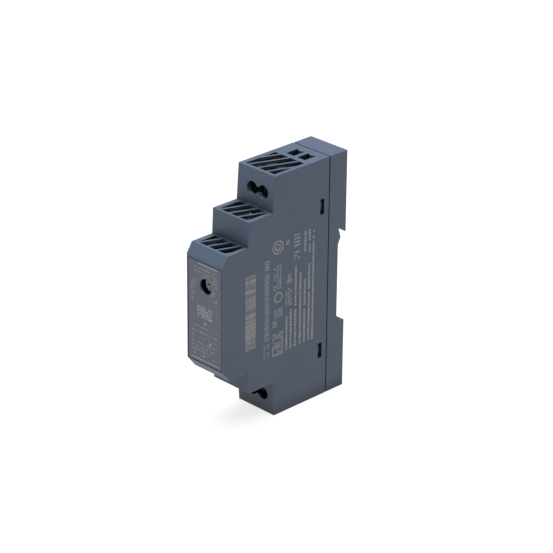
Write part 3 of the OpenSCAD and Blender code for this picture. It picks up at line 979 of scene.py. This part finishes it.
# ---------------------------------------------------------------- housing and rear base
# Flame-retardant polycarbonate, injection moulded in slate blue grey. The mould is spark-eroded,
# so the faces are finely grained and matte; edges and vent slats are slightly rounded. The base
# snaps into the housing with four lugs, which sit in the side windows.
slate = "#3c4859"
recess_reach = 10.0 * MM


def shade_recesses(material):
    """Darkens the plastic where little light gets in: in slots, wells and inner corners."""
    tree = material.node_tree
    shader = next(n for n in tree.nodes if n.type == "BSDF_PRINCIPLED")
    shader.inputs["Specular IOR Level"].default_value = 0.4
    plain = shader.inputs["Base Color"].links[0].from_socket
    open_sky = add(tree, "ShaderNodeAmbientOcclusion", {"Distance": recess_reach}, samples=8)
    depth = add(
        tree,
        "ShaderNodeMapRange",
        {"From Min": 0.3, "From Max": 0.85, "To Min": 0.0, "To Max": 1.0},
        {"Value": open_sky.outputs["AO"]},
    )
    dark = add(
        tree,
        "ShaderNodeMix",
        {"A": linear("#0b0e13")},
        {"Factor": depth.outputs["Result"], "B": plain},
        data_type="RGBA",
    )
    tree.links.new(dark.outputs[2], shader.inputs["Base Color"])
    return material


polycarbonate = shade_recesses(moulded("spark_eroded_polycarbonate", slate, 0.52, 0.5, 0.3))
for node in ("front_housing", "rear_base"):
    finish_cad(node, polycarbonate, 0.28)

# Light guide: a drop of clear acrylic with a faint blue cast, flush with the panel, drawn darker than
# clear acrylic as painted shade.
finish_cad("led_lens", moulded("clear_acrylic_with_painted_shade", "#46586c", 0.3, 0.8, 0.05), 0.08)

# ---------------------------------------------------------------- rail latch
# A glass-filled acetal slider that runs in grooves in the base and catches the rail's lower edge.
# Its foot has a slot for a screwdriver and moulded grip ribs across its back.
acetal = moulded("moulded_acetal", "#3b424d", 0.4, 0.5, 0.2)
finish_cad("rail_latch", acetal, 0.12)
group, given, result = node_group(
    "grip_ribs",
    {
        "Ribs": "Int",
        "Spacing": "Float",
        "Rib Length": "Float",
        "Rib Width": "Float",
        "Rib Height": "Float",
        "Plastic": "Material",
    },
)
rib_step = add(group, "ShaderNodeCombineXYZ", links={"Z": given["Spacing"]})
rib_places = add(
    group,
    "GeometryNodeMeshLine",
    links={"Count": given["Ribs"], "Offset": rib_step.outputs[0]},
    mode="OFFSET",
)
rib_tips = []
for half in (-0.5, 0.5):
    tip = add(group, "ShaderNodeMath", {1: half}, {0: given["Rib Length"]}, operation="MULTIPLY")
    rib_tips.append(add(group, "ShaderNodeCombineXYZ", links={"X": tip.outputs[0]}).outputs[0])
rib_path = add(
    group,
    "GeometryNodeCurvePrimitiveLine",
    links={"Start": rib_tips[0], "End": rib_tips[1]},
)
rib_section = add(group, "GeometryNodeCurvePrimitiveCircle", {"Resolution": 16, "Radius": 1.0})
rib_size = add(
    group, "ShaderNodeCombineXYZ", links={"X": given["Rib Width"], "Y": given["Rib Height"]}
)
rib_section = add(
    group,
    "GeometryNodeTransform",
    links={"Geometry": rib_section.outputs[0], "Scale": rib_size.outputs[0]},
)
rib = add(
    group,
    "GeometryNodeCurveToMesh",
    {"Fill Caps": True},
    {"Curve": rib_path.outputs[0], "Profile Curve": rib_section.outputs[0]},
)
ribs = add(
    group,
    "GeometryNodeInstanceOnPoints",
    links={"Points": rib_places.outputs[0], "Instance": rib.outputs[0]},
)
ribs = add(group, "GeometryNodeRealizeInstances", links={"Geometry": ribs.outputs[0]})
ribs = add(
    group,
    "GeometryNodeSetMaterial",
    links={"Geometry": ribs.outputs[0], "Material": given["Plastic"]},
)
group.links.new(ribs.outputs[0], result.inputs[0])
latch_low, latch_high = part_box("rail_latch")
mesh = grow(
    group,
    [],
    {
        "Ribs": 6,
        "Spacing": 1.1 * MM,
        "Rib Length": 5.0 * MM,
        "Rib Width": 0.3 * MM,
        "Rib Height": 0.3 * MM,
        "Plastic": acetal,
    },
)
mesh.transform(
    Matrix.Translation(
        ((latch_low.x + latch_high.x) / 2, latch_high.y, latch_low.z + 4.3 * MM)
    )
)
add_piece("latch_grip_ribs", mesh, "latch", 60)

# ---------------------------------------------------------------- front panel
# A smooth polycarbonate plate pressed into the pocket of the nose, a little glossier and greyer
# than the housing, with holes for the trimmer and for the light guide.
panel_plastic = moulded("smooth_polycarbonate_panel", "#3e4654", 0.38, 0.7, 0.12)
finish_cad("front_panel", panel_plastic, 0.1)

# ---------------------------------------------------------------- printed marks
# Warm grey ink, pad printed on the right side and on the panel. The marks here are plain bars,
# dashes and rings in the places of the real ones, with no lettering. Each is a thin raised film.
ink_height = 0.03
material, tree, output = new_material("pad_printed_ink")
place = add(tree, "ShaderNodeTexCoord").outputs["Object"]
thin = add(
    tree, "ShaderNodeTexNoise", {"Scale": 1 / (0.7 * MM), "Detail": 3.0}, {"Vector": place}
)
ink_tint = add(tree, "ShaderNodeValToRGB", links={"Fac": thin.outputs["Fac"]})
ink_tint.color_ramp.elements[0].position = 0.35
ink_tint.color_ramp.elements[1].position = 0.6
ink_tint.color_ramp.elements[0].color = linear("#63666b")
ink_tint.color_ramp.elements[1].color = linear("#848280")
ink_gloss = add(
    tree, "ShaderNodeMapRange", {"To Min": 0.35, "To Max": 0.6}, {"Value": thin.outputs["Fac"]}
)
shader = add(
    tree,
    "ShaderNodeBsdfPrincipled",
    links={"Base Color": ink_tint.outputs["Color"], "Roughness": ink_gloss.outputs["Result"]},
)
tree.links.new(shader.outputs[0], output.inputs["Surface"])
ink = material

# A block of dashes: rows and columns of flat bars, some left out and some shortened at random.
group, given, result = node_group(
    "printed_dashes",
    {
        "Columns": "Int",
        "Rows": "Int",
        "Column Step": "Float",
        "Row Step": "Float",
        "Dash Width": "Float",
        "Dash Length": "Float",
        "Shortest": "Float",
        "Thinnest": "Float",
        "Left Out": "Float",
        "Seed": "Int",
        "Ink": "Material",
    },
)
total = add(
    group, "ShaderNodeMath", links={0: given["Columns"], 1: given["Rows"]}, operation="MULTIPLY"
)
index = add(group, "GeometryNodeInputIndex")
column = add(
    group, "ShaderNodeMath", links={0: index.outputs[0], 1: given["Columns"]}, operation="MODULO"
)
row = add(
    group, "ShaderNodeMath", links={0: index.outputs[0], 1: given["Columns"]}, operation="DIVIDE"
)
row = add(group, "ShaderNodeMath", links={0: row.outputs[0]}, operation="FLOOR")
column_place = add(
    group,
    "ShaderNodeMath",
    links={0: column.outputs[0], 1: given["Column Step"]},
    operation="MULTIPLY",
)
row_place = add(
    group, "ShaderNodeMath", links={0: row.outputs[0], 1: given["Row Step"]}, operation="MULTIPLY"
)
dash_place = add(
    group,
    "ShaderNodeCombineXYZ",
    links={"X": column_place.outputs[0], "Y": row_place.outputs[0]},
)
dash_points = add(
    group,
    "GeometryNodePoints",
    links={"Count": total.outputs[0], "Position": dash_place.outputs[0]},
)
left_out = add(
    group,
    "FunctionNodeRandomValue",
    links={"Probability": given["Left Out"], "Seed": given["Seed"]},
    data_type="BOOLEAN",
)
left_out_value = next(s for s in left_out.outputs if s.enabled)
dash_points = add(
    group,
    "GeometryNodeDeleteGeometry",
    links={"Geometry": dash_points.outputs[0], "Selection": left_out_value},
    domain="POINT",
)
dash_size = add(
    group,
    "ShaderNodeCombineXYZ",
    {"Z": ink_height * MM},
    {"X": given["Dash Width"], "Y": given["Dash Length"]},
)
dash = add(group, "GeometryNodeMeshCube", links={"Size": dash_size.outputs[0]})
smallest = add(
    group,
    "ShaderNodeCombineXYZ",
    {"Z": 1.0},
    {"X": given["Thinnest"], "Y": given["Shortest"]},
)
dash_scale = add(
    group,
    "FunctionNodeRandomValue",
    links={"Seed": given["Seed"]},
    data_type="FLOAT_VECTOR",
)
scale_low = next(s for s in dash_scale.inputs if s.name == "Min" and s.enabled)
scale_high = next(s for s in dash_scale.inputs if s.name == "Max" and s.enabled)
scale_high.default_value = (1, 1, 1)
group.links.new(smallest.outputs[0], scale_low)
scale_value = next(s for s in dash_scale.outputs if s.enabled)
dashes = add(
    group,
    "GeometryNodeInstanceOnPoints",
    links={
        "Points": dash_points.outputs[0],
        "Instance": dash.outputs["Mesh"],
        "Scale": scale_value,
    },
)
dashes = add(group, "GeometryNodeRealizeInstances", links={"Geometry": dashes.outputs[0]})
dashes = add(
    group,
    "GeometryNodeSetMaterial",
    links={"Geometry": dashes.outputs[0], "Material": given["Ink"]},
)
group.links.new(dashes.outputs[0], result.inputs[0])

side_x = high.x
panel_low, panel_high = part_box("front_panel")
# Columns of each matrix: where the print's own right, up and outward directions point.
side_print = Matrix(((0, 0, 1, side_x), (1, 0, 0, 0), (0, 1, 0, 0), (0, 0, 0, 1)))
panel_print = Matrix(((1, 0, 0, 0), (0, 0, -1, panel_low.y), (0, 1, 0, 0), (0, 0, 0, 1)))


def print_block(target, face, first, steps, counts, dash, least=(1, 1), gaps=0.0, seed=1):
    """Adds a block of dashes to a print. Places and sizes are millimetres on that face."""
    block = grow(
        group,
        [],
        {
            "Columns": counts[0],
            "Rows": counts[1],
            "Column Step": steps[0] * MM,
            "Row Step": steps[1] * MM,
            "Dash Width": dash[0] * MM,
            "Dash Length": dash[1] * MM,
            "Thinnest": float(least[0]),
            "Shortest": float(least[1]),
            "Left Out": gaps,
            "Seed": seed,
            "Ink": ink,
        },
    )
    block.transform(face @ Matrix.Translation((first[0] * MM, first[1] * MM, 0)))
    target.from_mesh(block)
    bpy.data.meshes.remove(block)


def print_ring(target, face, centre, radius, width, start=0, sweep=360):
    """Adds a flat ring, or part of one, as a closed film. Angles are degrees."""
    steps = max(8, round(sweep / 12))
    whole = sweep == 360
    sections = []
    for k in range(steps if whole else steps + 1):
        angle = math.radians(start + sweep * k / steps)
        corners = []
        for r, h in (
            (radius - width / 2, -ink_height / 2),
            (radius + width / 2, -ink_height / 2),
            (radius + width / 2, ink_height / 2),
            (radius - width / 2, ink_height / 2),
        ):
            at = (centre[0] + r * math.cos(angle), centre[1] + r * math.sin(angle), h)
            corners.append(target.verts.new(face @ (Vector(at) * MM)))
        sections.append(corners)
    for k in range(steps):
        a, b = sections[k], sections[(k + 1) % len(sections)]
        for i in range(4):
            n = (i + 1) % 4
            target.faces.new((a[i], b[i], b[n], a[n]))
    if not whole:
        target.faces.new(sections[0])
        target.faces.new(reversed(sections[-1]))


def finish_print(name, shape):
    """Turns a finished print into a piece that rides on the supply."""
    bmesh.ops.recalc_face_normals(shape, faces=shape.faces)
    mesh = bpy.data.meshes.new(name)
    shape.to_mesh(mesh)
    mesh.materials.clear()
    mesh.materials.append(ink)
    add_piece(name, mesh, "supply")


side = bmesh.new()
# A hatched block of bars in many thicknesses.
print_block(side, side_print, (-41.9, -15.2), (1, 0.62), (1, 45), (4.9, 0.5), (1, 0.3), 0.0, 5)
# The tall line: a row of plain bars of one height.
print_block(side, side_print, (-34.2, -14.6), (1, 0.95), (1, 32), (2.2, 0.5), (1, 0.6), 0.1, 3)
print_block(side, side_print, (-35.3, -21.6), (1.7, 1.0), (2, 6), (0.6, 0.6), (1, 1), 0.1, 2)
# Rings and hatched patches in the next line.
for y, z, radius in ((-29.2, 18.7, 2.3), (-29.2, 18.7, 1.1), (-28.8, -0.1, 1.75)):
    print_ring(side, side_print, (y, z), radius, 0.5)
print_block(side, side_print, (-30.3, -7.4), (1.05, 0.9), (4, 4), (0.95, 0.5), (0.8, 0.7), 0, 14)
print_block(side, side_print, (-30.6, 3.3), (1.35, 0.95), (3, 10), (1.15, 0.5), (0.6, 0.7), 0.1, 4)
print_block(side, side_print, (-30.9, -10.6), (1.0, 0.85), (2, 3), (0.9, 0.6), (0.7, 0.7), 0, 6)
print_block(side, side_print, (-31.0, -21.8), (1.05, 0.9), (5, 10), (0.95, 0.65), (0.6, 0.6), 0.18, 7)
# Small marks: a patch of hatching that narrows upwards, and short groups beside it.
for rung in range(6):
    width = 3.0 - 0.45 * rung
    print_block(side, side_print, (-23.6, 3.9 + 0.6 * rung), (1, 1), (1, 1), (width, 0.34))
print_block(side, side_print, (-25.0, -4.4), (1.1, 1.0), (3, 7), (0.95, 0.6), (0.6, 0.7), 0.25, 10)
print_block(side, side_print, (-25.0, 18.7), (0.8, 0.8), (2, 2), (0.75, 0.55), (1, 1), 0, 11)
print_block(side, side_print, (-21.0, 16.7), (0.95, 1.3), (3, 4), (0.9, 0.75), (0.7, 0.7), 0.1, 12)
print_block(side, side_print, (-21.1, 11.8), (0.95, 1.2), (3, 3), (0.85, 0.75), (0.7, 0.7), 0.1, 13)
# Small lines that run up the side, a little over 2 mm apart.
small_lines = (
    (-24.7, -21.6, -7.5),
    (-22.7, -21.6, -6.2),
    (-20.5, -21.5, 9.4),
    (-18.2, -21.3, 6.7),
    (-16.1, -21.4, 3.5),
    (-16.1, 12.2, 21.3),
    (-14.0, -21.4, 9.0),
    (-14.0, 12.2, 21.0),
    (-12.1, -21.6, 21.2),
)
for line_number, (y, start_z, end_z) in enumerate(small_lines):
    print_block(
        side,
        side_print,
        (y, start_z + 0.5),
        (1, 1.1),
        (1, int((end_z - start_z) / 1.1)),
        (1.0, 1.05),
        (0.65, 0.7),
        0.06,
        20 + line_number,
    )
finish_print("side_print", side)

front = bmesh.new()
print_block(front, panel_print, (1.7, 17.1), (1, 1), (1, 1), (9.8, 0.5))
print_block(front, panel_print, (0.2, 14.0), (1, 1), (1, 1), (10.8, 0.22))
print_block(front, panel_print, (-4.6, 15.4), (1.15, 1), (9, 1), (0.85, 0.6), (0.5, 0.7), 0.2, 31)
print_ring(front, panel_print, (0.45, 9.4), 3.7, 0.16, -60, 200)
print_block(front, panel_print, (-6.2, 2.6), (1.2, 1.1), (2, 8), (0.9, 0.6), (0.6, 0.6), 0.35, 32)
print_block(front, panel_print, (4.6, 5.2), (1.1, 1.1), (2, 8), (0.8, 0.6), (0.6, 0.6), 0.4, 33)
print_block(front, panel_print, (-3.2, -2.2), (1.05, 1.1), (7, 4), (0.95, 0.85), (0.7, 0.8), 0.04, 34)
print_ring(front, panel_print, (0.2, -4.5), 0.35, 0.5)
print_block(front, panel_print, (2.6, -11.35), (1, 1), (1, 1), (1.2, 0.7))
for row_z, row_seed in ((-6.3, 35), (-8.3, 36), (-10.3, 37), (-12.4, 38), (-14.0, 39)):
    print_block(
        front, panel_print, (-5.9, row_z), (1.15, 1), (11, 1), (0.95, 0.5), (0.5, 0.6), 0.3, row_seed
    )
print_block(front, panel_print, (-1.5, -15.3), (1, 1), (1, 1), (8.7, 0.22))
print_block(front, panel_print, (-5.2, -16.9), (2.4, 1), (5, 1), (0.9, 0.6), (0.5, 0.7), 0.2, 41)
print_block(front, panel_print, (0.3, -18.6), (1, 1), (1, 1), (13.9, 0.45))
finish_print("panel_print", front)
